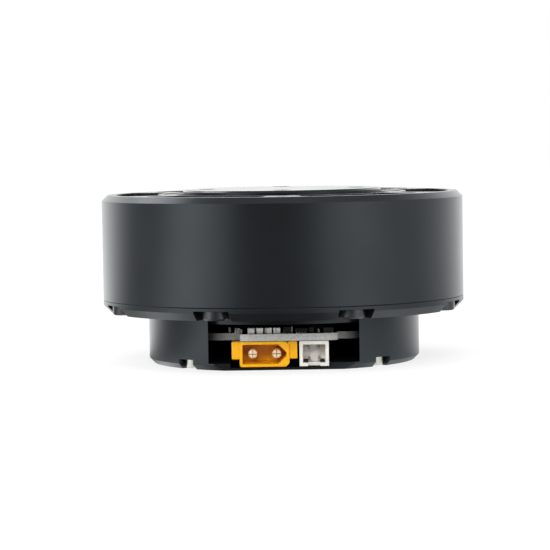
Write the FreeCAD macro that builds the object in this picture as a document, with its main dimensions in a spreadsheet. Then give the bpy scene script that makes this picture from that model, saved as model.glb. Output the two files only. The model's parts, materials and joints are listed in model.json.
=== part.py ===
import FreeCAD, Part
import math
import os
import re
import Sketcher
from FreeCAD import Placement, Rotation, Vector

# Robot joint actuator: a frameless motor in a round drum, a planetary reduction nested inside it,
# an output flange at the front (+Z) and a smaller cover with the driver board at the back.
# The origin is on the turning axis at the underside of the cover; the connectors face -Y.

doc = FreeCAD.newDocument("JointActuator")
sheet = doc.addObject("Spreadsheet::Sheet", "Sizes")
length_tolerance = 1e-3
volume_tolerance = 1e-4

driving_sizes = {
    # drum: motor housing and rear end cap
    "drum_radius": 40.0,
    "drum_wall_share": 0.135,
    "rim_chamfer": 1.25,
    "seam_break": 0.12,
    "front_plate": 5.55,
    "cap_thickness": 2.8,
    "cap_chamfer": 1.7,
    "cap_lip_height": 1.0,
    "cap_lip_wall": 1.4,
    "cap_floor": 2.0,
    "spigot_height": 1.5,
    "location_gap": 0.05,
    "cap_pocket_gap": 0.55,
    "shaft_gap": 0.4,
    "cut_margin": 1.0,
    "drill_relief": 0.2,
    # turns from +X to the front and to the back
    "front_turn": -90.0,
    "back_turn": 90.0,
    # pockets in the front face, one between each pair of spokes
    "pocket_count": 6,
    "pocket_land": 1.2,
    "pocket_rim": 3.2,
    "pocket_depth": 3.0,
    "pocket_half_angle": 23.5,
    "pocket_corner": 1.6,
    "spoke_hole_inset": 4.8,
    "spoke_hole_radius": 1.25,
    "spoke_hole_depth": 4.5,
    # screws that hold the end cap
    "cap_screw_count": 8,
    "cap_screw_inset": 2.8,
    "cap_screw_radius": 1.5,
    "cap_screw_length": 8.6,
    "cap_screw_head": 2.75,
    "cap_screw_head_height": 1.95,
    "notch_half_width": 4.0,
    "notch_reach": 3.4,
    "notch_height": 2.1,
    "notch_corner": 1.2,
    "thread_gap": 0.03,
    "screw_gap": 0.1,
    "head_break_share": 0.12,
    "socket_share": 0.9,
    "socket_depth_share": 0.55,
    # driver cover
    "cover_share": 0.75,
    "cover_wall": 1.95,
    "cover_floor": 1.5,
    "cover_chamfer": 1.1,
    "front_flat": 4.0,
    "window_left_edge": 0.65,
    "window_right_edge": 0.85,
    "window_reach": 6.0,
    "recess_floor": 0.5,
    "recess_depth": 14.5,
    "cover_screw_count": 4,
    "cover_screw_inset": 2.7,
    "cover_screw_radius": 1.0,
    "cover_screw_length": 11.3,
    "cover_screw_head": 1.9,
    "cover_screw_head_height": 1.9,
    "cover_notch_half_width": 2.2,
    "cover_notch_height": 2.1,
    "cover_boss_radius": 2.45,
    "boss_gap": 0.25,
    # gears
    "gear_share": 0.015,
    "pressure_angle": 20.0,
    "dedendum_share": 1.25,
    "sun_teeth": 12,
    "planet_teeth": 24,
    "planet_count": 3,
    "sun_shift": 0.3,
    "tooth_thinning": 0.04,
    "planet_width": 5.8,
    "ring_wall_share": 0.04575,
    "ring_reach_back": 1.0,
    "ring_reach_front": 0.2,
    # gearbox tube, which hangs from the front plate
    "tube_wall_share": 0.0475,
    "tube_reach": 0.8,
    "tube_web": 1.0,
    "tube_step": 0.3,
    # output bearing, crossed rollers
    "bearing_section": 5.0,
    "bearing_step": 0.2,
    "bearing_width": 5.0,
    "bearing_drop": 0.2,
    "bearing_split": 0.15,
    "roller_size": 2.4,
    "roller_gap": 0.03,
    "roller_end_gap": 0.09,
    "roller_count": 24,
    "land_drop": 0.95,
    "land_step": 1.3,
    "seat_wall": 2.0,
    # threaded ring that holds the bearing
    "retainer_gap": 1.8,
    "retainer_drop": 0.15,
    "retainer_slot_count": 6,
    "retainer_slot_width": 1.6,
    "retainer_slot_depth": 0.7,
    "retainer_break": 0.2,
    # output flange and planet carrier
    "flange_overhang": 2.0,
    "flange_proud": 0.9,
    "flange_gap": 0.4,
    "flange_chamfer": 0.4,
    "flange_shoulder": 0.9,
    "output_hole_count": 4,
    "output_hole_inset": 5.5,
    "output_hole_radius": 1.65,
    "output_hole_depth": 6.5,
    "output_hole_chamfer": 0.45,
    "carrier_gap": 0.3,
    "carrier_side_gap": 0.4,
    "carrier_thickness": 4.4,
    "carrier_plate_thickness": 2.4,
    "carrier_plate_gap": 0.58,
    "sun_clearance": 0.6,
    "post_offset": 1.2,
    "post_radius": 2.8,
    "post_screw_radius": 1.25,
    "post_screw_head": 2.25,
    "post_screw_head_height": 1.4,
    "post_screw_grip": 4.0,
    "pin_radius": 2.0,
    "pin_depth": 3.0,
    "pin_running_gap": 0.03,
    "bush_wall": 0.57,
    # rotor
    "rotor_gap": 0.5,
    "rotor_ring_share": 0.035,
    "magnet_share": 0.04,
    "magnet_count": 28,
    "magnet_spacing": 0.5,
    "magnet_lift": 0.2,
    "magnet_shortness": 0.6,
    "web_lift": 0.9,
    "web_thickness": 1.8,
    "web_hole_count": 6,
    "web_hole_circle": 15.0,
    "web_hole_radius": 4.0,
    "hub_radius": 7.5,
    "hub_step": 0.4,
    "shaft_radius": 4.0,
    "tail_length": 0.5,
    "journal_radius": 2.5,
    "encoder_magnet_radius": 3.0,
    "encoder_magnet_height": 1.8,
    # rotor bearings, shielded
    "rear_bearing_outer": 8.0,
    "rear_bearing_width": 4.0,
    "front_bearing_outer": 5.5,
    "front_bearing_width": 3.0,
    "ring_section": 1.1,
    "shield_thickness": 0.35,
    "shield_gap": 0.15,
    "bearing_lip": 0.8,
    "boss_radius": 10.0,
    # stator
    "air_gap": 0.4,
    "slot_count": 24,
    "yoke_share": 0.06,
    "coil_back_room": 3.5,
    "coil_front_room": 0.8,
    "tooth_width": 2.6,
    "tooth_tip": 0.9,
    "slot_mouth": 1.2,
    "coil_side": 1.85,
    "coil_overhang": 1.6,
    "coil_gap": 0.05,
    "coil_end_gap": 0.4,
    # driver board
    "board_thickness": 1.5,
    "spacer_length": 2.1,
    "board_edge_gap": 0.65,
    "board_tab_left": 9.4,
    "board_tab_right": 11.4,
    "board_tab_length": 4.0,
    "spacer_count": 3,
    "spacer_inset": 8.0,
    "spacer_radius": 2.2,
    "board_screw_radius": 1.0,
    "board_screw_head": 1.9,
    "board_screw_head_height": 1.3,
    "board_screw_grip": 1.4,
    # parts on the board
    "capacitor_count": 4,
    "capacitor_side": 1.48,
    "capacitor_pitch": 1.83,
    "capacitor_height": 1.25,
    "capacitor_left": -7.78,
    "capacitor_setback": 0.8,
    "chip_height": 0.9,
    "mosfet_count": 6,
    "mosfet_width": 5.2,
    "mosfet_length": 6.0,
    "mosfet_circle": 14.5,
    "encoder_chip_side": 3.0,
    "controller_side": 7.0,
    "controller_offset": 3.0,
    "can_count": 3,
    "can_radius": 2.6,
    "can_height": 3.6,
    "can_break": 0.3,
    "can_pitch": 6.5,
    "can_offset": 6.0,
    # phase leads
    "lead_count": 3,
    "lead_radius": 0.6,
    "lead_inset": 0.9,
    "lead_hole_radius": 1.0,
    "lead_bend": 1.0,
    "lead_bend_share": 0.45,
    # both connectors
    "mouth_proud": 0.3,
    "connector_lift": 0.1,
    "connector_floor_gap": 0.2,
    "connector_gap": 0.3,
    # power connector
    "power_left": -9.55,
    "power_width": 10.62,
    "power_height": 5.4,
    "power_depth": 10.5,
    "power_wall": 0.62,
    "power_cavity": 8.4,
    "power_corner": 1.7,
    "power_shell_corner": 1.2,
    "power_shell_round": 0.6,
    "ear_width": 1.7,
    "ear_height": 3.75,
    "ear_setback": 0.6,
    "ear_depth": 4.0,
    "power_pin_radius": 0.95,
    "power_pin_pitch": 5.1,
    "power_pin_offset": 2.8,
    "power_pin_setback": 0.9,
    "power_pin_break": 0.3,
    "power_pin_slit": 0.16,
    "power_pin_slit_depth": 3.0,
    "power_pin_overhang": 1.4,
    "power_tail_radius": 0.6,
    # signal connector
    "signal_left": 3.2,
    "signal_width": 6.25,
    "signal_height": 5.35,
    "signal_depth": 6.6,
    "signal_wall": 0.72,
    "signal_cavity": 4.6,
    "signal_key": 1.3,
    "signal_key_depth": 1.5,
    "signal_pin_side": 0.5,
    "signal_pin_pitch": 2.2,
    "signal_pin_setback": 1.2,
    "signal_pin_overhang": 1.0,
    "signal_row_step": 1.0,
}

derived_sizes = {
    # radii of the drum and of the cover
    "drum_wall": "drum_radius * drum_wall_share",
    "drum_bore": "drum_radius - drum_wall",
    "pocket_outer": "drum_radius - pocket_rim",
    "spoke_hole_circle": "pocket_outer - spoke_hole_inset",
    "cap_screw_circle": "drum_radius - cap_screw_inset",
    "notch_inner": "cap_screw_circle - notch_reach",
    "cover_radius": "drum_radius * cover_share",
    "spigot_radius": "cover_radius - cover_wall - location_gap",
    "cover_screw_circle": "cover_radius - cover_screw_inset",
    "cover_front": "cover_radius - front_flat",
    "mouth_front": "cover_front + mouth_proud",
    "boss_side": "cover_screw_circle * sin(180 / cover_screw_count) - cover_boss_radius",
    "window_left": "boss_side - window_left_edge",
    "window_right": "boss_side - window_right_edge",
    "window_back": "cover_front - window_reach",
    "board_radius": "cover_radius - cover_wall - board_edge_gap",
    "board_shoulder": "cover_front - board_tab_length",
    "spacer_circle": "cover_radius - spacer_inset",
    "can_circle": "spacer_circle - can_offset",
    "lead_circle": "board_radius - lead_inset",
    # radii of the gear train, of the bearing round it and of the motor round that
    "gear_module": "drum_radius * gear_share",
    "sun_pitch": "gear_module * sun_teeth / 2",
    "planet_pitch": "gear_module * planet_teeth / 2",
    "planet_circle": "sun_pitch + planet_pitch",
    "ring_pitch": "sun_pitch + 2 * planet_pitch",
    "ring_teeth": "sun_teeth + 2 * planet_teeth",
    "ring_tip": "ring_pitch - gear_module * (1 - sun_shift)",
    "sun_tip": "sun_pitch + gear_module * (1 + sun_shift)",
    "ring_root": "ring_pitch + gear_module * (dedendum_share - sun_shift)",
    "tube_bore": "ring_root + drum_radius * ring_wall_share",
    "tube_outer": "tube_bore + drum_radius * tube_wall_share",
    "tube_neck": "tube_bore - tube_step",
    "carrier_radius": "tube_neck - carrier_gap",
    "carrier_plate_radius": "ring_tip - carrier_plate_gap",
    "post_circle": "planet_circle + post_offset",
    "bearing_inner": "carrier_radius + bearing_step",
    "bearing_outer": "bearing_inner + bearing_section",
    "roller_circle": "(bearing_outer + bearing_inner) / 2",
    "groove_depth": "roller_size / sqrt(2)",
    "land_radius": "bearing_outer + land_step",
    "pocket_inner": "land_radius + pocket_land",
    "flange_radius": "bearing_inner + flange_overhang",
    "retainer_inner": "flange_radius + retainer_gap",
    "retainer_outer": "land_radius - thread_gap",
    "output_hole_circle": "flange_radius - output_hole_inset",
    "rotor_inner": "tube_outer + rotor_gap",
    "rotor_outer": "rotor_inner + drum_radius * rotor_ring_share",
    "magnet_outer": "rotor_outer + drum_radius * magnet_share",
    "stator_inner": "magnet_outer + air_gap",
    "slot_outer": "drum_bore - drum_radius * yoke_share",
    # heights, from the cover's floor up: connectors, board, end cap
    "power_base": "recess_floor + connector_floor_gap",
    "board_bottom": "power_base + power_height + connector_lift",
    "board_top": "board_bottom + board_thickness",
    "signal_base": "board_bottom - connector_lift - signal_height",
    "spigot_base": "board_top + spacer_length",
    "cover_height": "spigot_base + spigot_height",
    "cap_base": "cover_height",
    "cap_floor_top": "spigot_base + cap_floor",
    "seam": "cap_base + cap_thickness",
    "rear_bearing_base": "seam - rear_bearing_width",
    "boss_base": "rear_bearing_base - bearing_lip",
    "shaft_tail": "rear_bearing_base - tail_length",
    # heights above the seam: rotor web, carrier plate, planets, carrier, bearing, rim
    "web_base": "seam + web_lift",
    "web_top": "web_base + web_thickness",
    "plate_base": "web_top + hub_step + carrier_side_gap",
    "plate_top": "plate_base + carrier_plate_thickness",
    "planet_bottom": "plate_top + carrier_side_gap",
    "planet_top": "planet_bottom + planet_width",
    "ring_bottom": "planet_bottom - ring_reach_back",
    "ring_top": "planet_top + ring_reach_front",
    "tube_bottom": "ring_bottom - tube_reach",
    "carrier_base": "planet_top + carrier_side_gap",
    "front_bearing_base": "carrier_base + bearing_lip",
    "shaft_end": "front_bearing_base + front_bearing_width",
    "bearing_base": "carrier_base + carrier_thickness",
    "bearing_middle": "bearing_base + bearing_width / 2",
    "bearing_top": "bearing_base + bearing_width",
    "land": "bearing_top + bearing_drop",
    "rim": "land + land_drop",
    "plate_under": "rim - front_plate",
    "retainer_top": "rim - retainer_drop",
    "flange_under": "bearing_top + flange_gap",
    "flange_top": "rim + flange_proud",
    "tube_shelf": "bearing_base - tube_web",
    "rotor_top": "tube_shelf - carrier_side_gap",
    # heights of the motor
    "lead_start": "seam + coil_back_room",
    "stator_bottom": "lead_start + coil_overhang",
    "stator_top": "plate_under - coil_front_room - coil_overhang",
    "stator_height": "stator_top - stator_bottom",
    "magnet_bottom": "stator_bottom + magnet_lift",
    "magnet_height": "stator_height - magnet_shortness",
}


def fill_sheet():
    """Write each size in a row of its own: its name in column A, its value in column B."""
    for row, (alias, size) in enumerate(driving_sizes.items(), start=1):
        sheet.set(f"A{row}", alias)
        sheet.set(f"B{row}", str(size))
        sheet.setAlias(f"B{row}", alias)
    first = len(driving_sizes) + 1
    for row, (alias, formula) in enumerate(derived_sizes.items(), start=first):
        sheet.set(f"A{row}", alias)
        sheet.set(f"B{row}", "=" + formula)
        sheet.setAlias(f"B{row}", alias)
    doc.recompute()


def linked(formula):
    """The formula as another object writes it, with the sheet's name before each size."""
    return re.sub(r"[a-z]+_[a-z_]+|\b(seam|rim|land)\b", r"Sizes.\g<0>", formula)


def value(formula):
    return float(sheet.evalExpression(linked(formula)))


def plane(body, role):
    return next(feature for feature in body.Origin.OriginFeatures if feature.Role == role)


def new_body(name):
    body = doc.addObject("PartDesign::Body", name)
    body.Label = name
    return body


def sketch_on(body, name, role="XY_Plane", lift=None, turn=None):
    """A sketch on one of the body's own planes, lifted along its normal and turned about it."""
    sketch = body.newObject("Sketcher::SketchObject", f"{body.Name}_{name}")
    sketch.AttachmentSupport = [(plane(body, role), "")]
    sketch.MapMode = "FlatFace"
    if turn:
        sketch.AttachmentOffset = Placement(Vector(), Rotation(Vector(0, 0, 1), value(turn)))
        sketch.setExpression("AttachmentOffset.Rotation.Angle", linked(turn))
    if lift:
        sketch.setExpression("AttachmentOffset.Base.z", linked(lift))
    return sketch


def place_point(sketch, geometry, end, x_formula, y_formula):
    """Hold a point of the sketch at two formulas of the sheet, measured from the origin."""
    for kind, formula in (("DistanceX", x_formula), ("DistanceY", y_formula)):
        distance = value(formula)
        if distance < 0:
            points = (geometry, end, -1, 1)
            formula = f"-({formula})"
        else:
            points = (-1, 1, geometry, end)
        index = sketch.addConstraint(Sketcher.Constraint(kind, *points, abs(distance)))
        sketch.setExpression(f"Constraints[{index}]", linked(formula))


def outline(sketch, corners):
    """A closed outline of straight lines through the corners."""
    points = [Vector(value(x), value(y), 0) for x, y in corners]
    first = sketch.GeometryCount
    count = len(points)
    for index in range(count):
        sketch.addGeometry(Part.LineSegment(points[index], points[(index + 1) % count]), False)
    for index in range(count):
        after = first + (index + 1) % count
        sketch.addConstraint(Sketcher.Constraint("Coincident", first + index, 2, after, 1))
    for index, (x, y) in enumerate(corners):
        place_point(sketch, first + index, 1, x, y)


def rectangle(sketch, x_low, x_high, y_low, y_high):
    outline(sketch, [(x_low, y_low), (x_high, y_low), (x_high, y_high), (x_low, y_high)])


def circle(sketch, x, y, radius):
    centre = Vector(value(x), value(y), 0)
    index = sketch.addGeometry(Part.Circle(centre, Vector(0, 0, 1), value(radius)), False)
    place_point(sketch, index, 3, x, y)
    size = sketch.addConstraint(Sketcher.Constraint("Radius", index, value(radius)))
    sketch.setExpression(f"Constraints[{size}]", linked(radius))


def sector(sketch, inner, outer, half_angle):
    """A ring sector about the sketch's x axis: two arcs and two straight ends on radii."""
    angle = math.radians(value(half_angle))
    radii = [value(inner), value(outer)]
    axis = Vector(0, 0, 1)
    arcs = []
    for radius in radii:
        rim = Part.Circle(Vector(), axis, radius)
        arcs.append(sketch.addGeometry(Part.ArcOfCircle(rim, -angle, angle), False))
    ends = []
    for side in (-1, 1):
        start, stop = [
            Vector(radius * math.cos(angle), side * radius * math.sin(angle), 0) for radius in radii
        ]
        ends.append(sketch.addGeometry(Part.LineSegment(start, stop), False))
    for arc, formula in zip(arcs, (inner, outer)):
        sketch.addConstraint(Sketcher.Constraint("Coincident", arc, 3, -1, 1))
        size = sketch.addConstraint(Sketcher.Constraint("Radius", arc, value(formula)))
        sketch.setExpression(f"Constraints[{size}]", linked(formula))
    for end, arc_point in zip(ends, (1, 2)):
        sketch.addConstraint(Sketcher.Constraint("Coincident", end, 1, arcs[0], arc_point))
        sketch.addConstraint(Sketcher.Constraint("Coincident", end, 2, arcs[1], arc_point))
        sketch.addConstraint(Sketcher.Constraint("PointOnObject", -1, 1, end))
    turn = sketch.addConstraint(Sketcher.Constraint("Angle", -1, 1, ends[1], 1, angle))
    sketch.setExpression(f"Constraints[{turn}]", linked(half_angle) + " * 1 deg")
    sketch.addConstraint(Sketcher.Constraint("Symmetric", arcs[1], 1, arcs[1], 2, -1))


def revolve(body, corners, name="turned"):
    """Turn an outline of (radius, height) corners about Z."""
    sketch = sketch_on(body, f"{name}_profile", "XZ_Plane")
    outline(sketch, corners)
    feature = body.newObject("PartDesign::Revolution", f"{body.Name}_{name}")
    feature.Profile = sketch
    feature.ReferenceAxis = (sketch, ["V_Axis"])
    feature.Angle = 360
    doc.recompute()
    return feature


def pad(body, sketch, length, name):
    feature = body.newObject("PartDesign::Pad", f"{body.Name}_{name}")
    feature.Profile = sketch
    feature.setExpression("Length", linked(length))
    doc.recompute()
    return feature


def pocket(body, sketch, depth, name, upward=False):
    """Cut the sketch into the solid; upward cuts towards +Z. The cut has to take material away."""
    before = body.Shape.Volume
    feature = body.newObject("PartDesign::Pocket", f"{body.Name}_{name}")
    feature.Profile = sketch
    feature.setExpression("Length", linked(depth))
    feature.Reversed = upward
    doc.recompute()
    if body.Shape.Volume > before - volume_tolerance:
        raise RuntimeError(f"{feature.Name} cuts nothing")
    return feature


def polar(body, feature, count, name):
    """Repeat a feature round Z."""
    pattern = body.newObject("PartDesign::PolarPattern", f"{body.Name}_{name}")
    pattern.Originals = [feature]
    pattern.Axis = (plane(body, "Z_Axis"), [""])
    pattern.Angle = 360
    pattern.setExpression("Occurrences", linked(count))
    body.Tip = pattern
    doc.recompute()
    return pattern


def dress(body, kind, edges, size, name):
    """A fillet or chamfer on the edges of the body's tip that the test accepts."""
    tip = body.Tip
    names = [f"Edge{i}" for i, edge in enumerate(tip.Shape.Edges, start=1) if edges(edge)]
    if not names:
        raise RuntimeError(f"{body.Name}_{name} finds no edge")
    feature = body.newObject(f"PartDesign::{kind}", f"{body.Name}_{name}")
    feature.Base = (tip, names)
    feature.setExpression("Radius" if kind == "Fillet" else "Size", linked(size))
    body.Tip = feature
    doc.recompute()
    return feature


def is_upright(edge, radius, low, high):
    """An edge parallel to Z, at this distance from Z, between two heights."""
    box = edge.BoundBox
    if box.XLength > length_tolerance or box.YLength > length_tolerance:
        return False
    away = math.hypot(box.Center.x, box.Center.y)
    between = box.ZMin > low - length_tolerance and box.ZMax < high + length_tolerance
    return between and abs(away - radius) < value("location_gap")


def is_circle_at(edge, radius, height):
    """A round edge of this radius in the plane z = height, whatever its centre."""
    if not isinstance(edge.Curve, Part.Circle):
        return False
    apart = max(abs(edge.Curve.Radius - radius), abs(edge.Curve.Center.z - height))
    return apart < length_tolerance


def holes(body, circle_radius, radius, count, depth, name, lift, upward=False, turn=None):
    """Round holes on a bolt circle, starting on +X or turned from it."""
    sketch = sketch_on(body, f"{name}_sketch", lift=lift, turn=turn)
    circle(sketch, circle_radius, "0", radius)
    return polar(body, pocket(body, sketch, depth, name, upward), count, f"{name}_set")


def solid_node(name, shape):
    """A node whose shape is worked out here from the sheet's values."""
    node = doc.addObject("Part::Feature", name)
    node.Label = name
    node.Shape = shape
    return node


def around(shape, count, radius, first=0.0):
    """Copies of a shape round Z, moved out by the radius, the first one at an angle from +X."""
    copies = []
    for index in range(int(count)):
        copy = shape.copy()
        copy.translate(Vector(radius, 0, 0))
        copy.rotate(Vector(), Vector(0, 0, 1), first + 360.0 * index / count)
        copies.append(copy)
    return copies


def box_at(x_low, x_high, y_low, y_high, z_low, z_high):
    size = (x_high - x_low, y_high - y_low, z_high - z_low)
    return Part.makeBox(*size, Vector(x_low, y_low, z_low))


def cylinder_at(radius, z_low, z_high, x=0.0, y=0.0):
    return Part.makeCylinder(radius, z_high - z_low, Vector(x, y, z_low))


def hexagon(across, z_low, z_high):
    """A hexagonal prism, its size taken across the flats."""
    corner = across / math.sqrt(3)
    turns = [math.radians(angle) for angle in range(0, 361, 60)]
    points = [Vector(corner * math.cos(a), corner * math.sin(a), z_low) for a in turns]
    return Part.Face(Part.makePolygon(points)).extrude(Vector(0, 0, z_high - z_low))


def socket_screw(radius, head_radius, head_height, seat, length):
    """A socket head screw that points up, its head under the seat height."""
    base = seat - head_height
    head = cylinder_at(head_radius, base, seat)
    rim = [edge for edge in head.Edges if is_circle_at(edge, head_radius, base)]
    head = head.makeChamfer(head_radius * value("head_break_share"), rim)
    socket = hexagon(head_radius * value("socket_share"), base,
                     base + head_height * value("socket_depth_share"))
    return head.fuse(cylinder_at(radius, seat, seat + length)).cut(socket).removeSplitter()


def involute(angle):
    return math.tan(angle) - angle


def gear_outline(teeth, module, shift, thinning, tip_radius, root_radius):
    """A closed outline of involute teeth, one tooth on +X.

    Each flank is an arc through three points of the involute. Below the base circle the flank is a
    radius. thinning is taken off each flank at the pitch circle, and is negative for a tooth space.
    """
    pressure = math.radians(value("pressure_angle"))
    pitch_radius = module * teeth / 2
    base_radius = pitch_radius * math.cos(pressure)
    half_tooth = (math.pi / 2 + 2 * shift * math.tan(pressure)) * module / 2 - thinning
    pitch_angle = half_tooth / pitch_radius + involute(pressure)

    def flank_point(radius, side, centre):
        ratio = min(1.0, base_radius / radius)
        angle = pitch_angle - involute(math.acos(ratio))
        turn = centre + side * angle
        return Vector(radius * math.cos(turn), radius * math.sin(turn), 0)

    start_radius = max(base_radius, root_radius)
    middle_radius = (start_radius + tip_radius) / 2
    step = 2 * math.pi / teeth
    edges = []
    for index in range(int(teeth)):
        centre = index * step
        lower = [flank_point(r, -1, centre) for r in (start_radius, middle_radius, tip_radius)]
        upper = [flank_point(r, 1, centre) for r in (tip_radius, middle_radius, start_radius)]
        crown = Vector(tip_radius * math.cos(centre), tip_radius * math.sin(centre), 0)
        next_start = flank_point(start_radius, -1, centre + step)
        root_ends = [
            point * (root_radius / point.Length) for point in (lower[0], upper[2], next_start)
        ]
        if root_radius < base_radius:
            edges.append(Part.makeLine(root_ends[0], lower[0]))
        edges.append(Part.Arc(*lower).toShape())
        edges.append(Part.Arc(lower[2], crown, upper[0]).toShape())
        edges.append(Part.Arc(*upper).toShape())
        if root_radius < base_radius:
            edges.append(Part.makeLine(upper[2], root_ends[1]))
        valley = centre + step / 2
        low_point = Vector(root_radius * math.cos(valley), root_radius * math.sin(valley), 0)
        edges.append(Part.Arc(root_ends[1], low_point, root_ends[2]).toShape())
    return Part.Wire(edges)


def gear_solid(wire, z_low, z_high, turn=0.0):
    solid = Part.Face(wire).extrude(Vector(0, 0, z_high - z_low))
    solid.rotate(Vector(), Vector(0, 0, 1), turn)
    solid.translate(Vector(0, 0, z_low))
    return solid


def build_motor_housing():
    """The drum, its front plate, the output bearing's seat and the tube that holds the ring gear."""
    body = new_body("motor_housing")
    revolve(body, [
        ("drum_bore", "seam"),
        ("drum_radius - seam_break", "seam"),
        ("drum_radius", "seam + seam_break"),
        ("drum_radius", "rim - rim_chamfer"),
        ("drum_radius - rim_chamfer", "rim"),
        ("land_radius", "rim"),
        ("land_radius", "land"),
        ("bearing_outer", "land"),
        ("bearing_outer", "bearing_base"),
        ("roller_circle + bearing_split / 2", "bearing_base"),
        ("roller_circle + bearing_split / 2", "bearing_base - tube_step"),
        ("tube_neck", "bearing_base - tube_step"),
        ("tube_neck", "ring_top"),
        ("tube_bore", "ring_top"),
        ("tube_bore", "tube_bottom"),
        ("tube_outer", "tube_bottom"),
        ("tube_outer", "tube_shelf"),
        ("bearing_outer + seat_wall", "tube_shelf"),
        ("bearing_outer + seat_wall", "plate_under"),
        ("drum_bore", "plate_under"),
    ])
    sketch = sketch_on(body, "pocket_sketch", lift="rim", turn="180 / pocket_count + front_turn")
    sector(sketch, "pocket_inner", "pocket_outer", "pocket_half_angle")
    cut = pocket(body, sketch, "pocket_depth", "pocket")
    polar(body, cut, "pocket_count", "pocket_set")
    floor = value("rim - pocket_depth")
    radii = (value("pocket_inner"), value("pocket_outer"))
    dress(body, "Fillet", lambda edge: any(
        is_upright(edge, radius, floor, value("rim")) for radius in radii
    ), "pocket_corner", "pocket_corners")
    holes(body, "spoke_hole_circle", "spoke_hole_radius", "pocket_count", "spoke_hole_depth",
          "spoke_hole", "rim", turn="front_turn")
    holes(body, "cap_screw_circle", "cap_screw_radius", "cap_screw_count",
          "cap_screw_length", "cap_screw_hole", "seam", upward=True,
          turn="180 / cap_screw_count")


def build_rear_end_cap():
    """The ring under the drum, with a spigot for the cover and a boss for the rear rotor bearing."""
    body = new_body("rear_end_cap")
    revolve(body, [
        ("shaft_radius + ring_section + shaft_gap", "boss_base"),
        ("boss_radius", "boss_base"),
        ("boss_radius", "spigot_base"),
        ("spigot_radius", "spigot_base"),
        ("spigot_radius", "cap_base"),
        ("drum_radius - cap_chamfer", "cap_base"),
        ("drum_radius", "cap_base + cap_chamfer"),
        ("drum_radius", "seam - seam_break"),
        ("drum_radius - seam_break", "seam"),
        ("drum_bore - location_gap", "seam"),
        ("drum_bore - location_gap", "seam + cap_lip_height"),
        ("drum_bore - cap_lip_wall", "seam + cap_lip_height"),
        ("drum_bore - cap_lip_wall", "seam"),
        ("cover_screw_circle - cover_boss_radius + cap_pocket_gap", "seam"),
        ("cover_screw_circle - cover_boss_radius + cap_pocket_gap", "cap_floor_top"),
        ("boss_radius", "cap_floor_top"),
        ("boss_radius", "seam"),
        ("rear_bearing_outer", "seam"),
        ("rear_bearing_outer", "rear_bearing_base"),
        ("shaft_radius + ring_section + shaft_gap", "rear_bearing_base"),
    ])
    sketch = sketch_on(body, "notch_sketch", lift="cap_base", turn="180 / cap_screw_count")
    rectangle(sketch, "notch_inner", "drum_radius + cut_margin", "-notch_half_width",
              "notch_half_width")
    cut = pocket(body, sketch, "notch_height", "notch", upward=True)
    polar(body, cut, "cap_screw_count", "notch_set")
    corner = math.hypot(value("notch_inner"), value("notch_half_width"))
    dress(body, "Fillet", lambda edge: is_upright(
        edge, corner, value("cap_base"), value("cap_base + notch_height")
    ), "notch_corner", "notch_corners")
    holes(body, "cap_screw_circle", "cap_screw_radius + screw_gap", "cap_screw_count",
          "cap_thickness", "screw_hole", "cap_base", upward=True, turn="180 / cap_screw_count")
    holes(body, "cover_screw_circle", "cover_boss_radius + boss_gap", "cover_screw_count",
          "spigot_height", "boss_relief", "spigot_base", upward=True,
          turn="180 / cover_screw_count")
    holes(body, "cover_screw_circle", "cover_screw_radius", "cover_screw_count",
          "cover_notch_height + cover_screw_length - cap_base + drill_relief",
          "cover_screw_hole", "cap_base", upward=True, turn="180 / cover_screw_count")
    holes(body, "spacer_circle", "board_screw_radius", "spacer_count",
          "board_screw_grip + drill_relief", "board_screw_hole", "spigot_base", upward=True,
          turn="back_turn")
    sketch = sketch_on(body, "lead_hole_sketch", lift="spigot_base")
    for angle in lead_angles():
        circle(sketch, f"lead_circle * cos({angle})", f"lead_circle * sin({angle})",
               "lead_hole_radius")
    pocket(body, sketch, "cap_thickness + spigot_height", "lead_hole", upward=True)


def build_driver_cover():
    """The rear cup round the driver board, with a window for the connectors."""
    body = new_body("driver_cover")
    inner = "cover_radius - cover_wall"
    revolve(body, [
        ("0", "0"),
        ("cover_radius - cover_chamfer", "0"),
        ("cover_radius", "cover_chamfer"),
        ("cover_radius", "cover_height"),
        (inner, "cover_height"),
        (inner, "cover_floor"),
        ("0", "cover_floor"),
    ])
    sketch = sketch_on(body, "boss_sketch", lift="cover_floor", turn="180 / cover_screw_count")
    circle(sketch, "cover_screw_circle", "0", "cover_boss_radius")
    boss = pad(body, sketch, "cover_height - cover_floor", "boss")
    polar(body, boss, "cover_screw_count", "boss_set")
    sketch = sketch_on(body, "window_sketch", lift="cover_height")
    rectangle(sketch, "-window_left", "window_right", "-cover_radius - cut_margin",
              "-window_back")
    pocket(body, sketch, "cover_height - cover_floor", "window")
    sketch = sketch_on(body, "front_sketch", lift="cover_floor")
    rectangle(sketch, "-window_left", "window_left", "-cover_radius - cut_margin",
              "-cover_front")
    pocket(body, sketch, "cover_floor", "front_cut")
    sketch = sketch_on(body, "recess_sketch", lift="cover_floor")
    rectangle(sketch, "power_left - ear_width - connector_gap",
              "signal_left + signal_width + connector_gap",
              "-cover_front - cut_margin", "-cover_front + recess_depth")
    pocket(body, sketch, "cover_floor - recess_floor", "connector_recess")
    sketch = sketch_on(body, "notch_sketch", turn="180 / cover_screw_count")
    rectangle(sketch, "cover_screw_circle", "cover_radius + cut_margin",
              "-cover_notch_half_width", "cover_notch_half_width")
    notch = pocket(body, sketch, "cover_notch_height", "notch", upward=True)
    polar(body, notch, "cover_screw_count", "notch_set")
    holes(body, "cover_screw_circle", "cover_notch_half_width", "cover_screw_count",
          "cover_notch_height", "counterbore", None, upward=True,
          turn="180 / cover_screw_count")
    holes(body, "cover_screw_circle", "cover_screw_radius + screw_gap", "cover_screw_count",
          "cover_height", "screw_hole", None, upward=True, turn="180 / cover_screw_count")


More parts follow.
